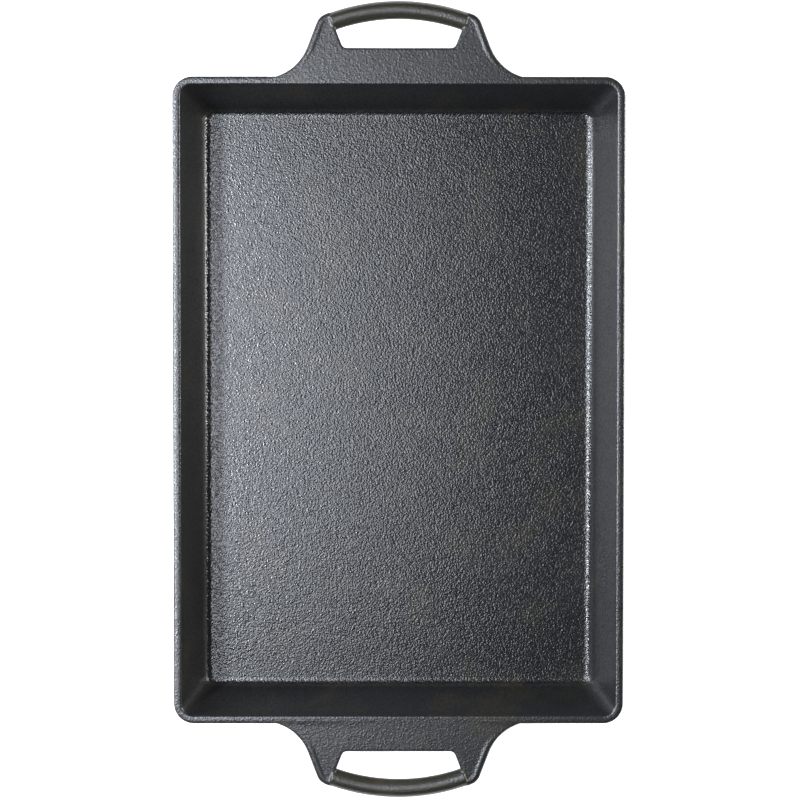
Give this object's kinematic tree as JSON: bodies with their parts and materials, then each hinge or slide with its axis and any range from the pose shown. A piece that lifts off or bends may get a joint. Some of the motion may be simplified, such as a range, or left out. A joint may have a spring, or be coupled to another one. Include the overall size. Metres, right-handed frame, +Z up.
{
  "type": "baking pan",
  "caption": "Deep rectangular cast iron baking pan with sloping walls, rounded corners, a pebbled cooking floor and a looped handle at each short end.",
  "frame": {"origin": "centre of the tray's flat underside", "axes": "+X across the pan, +Y along it from handle to handle, +Z up out of the open top"},
  "size_m": [0.2748, 0.487, 0.0515],
  "materials": {
    "seasoned_iron": "satin"
  },
  "bodies": {
    "root": {"tray": "seasoned_iron", "handle_back": "seasoned_iron", "handle_front": "seasoned_iron"}
  },
  "joints": []
}
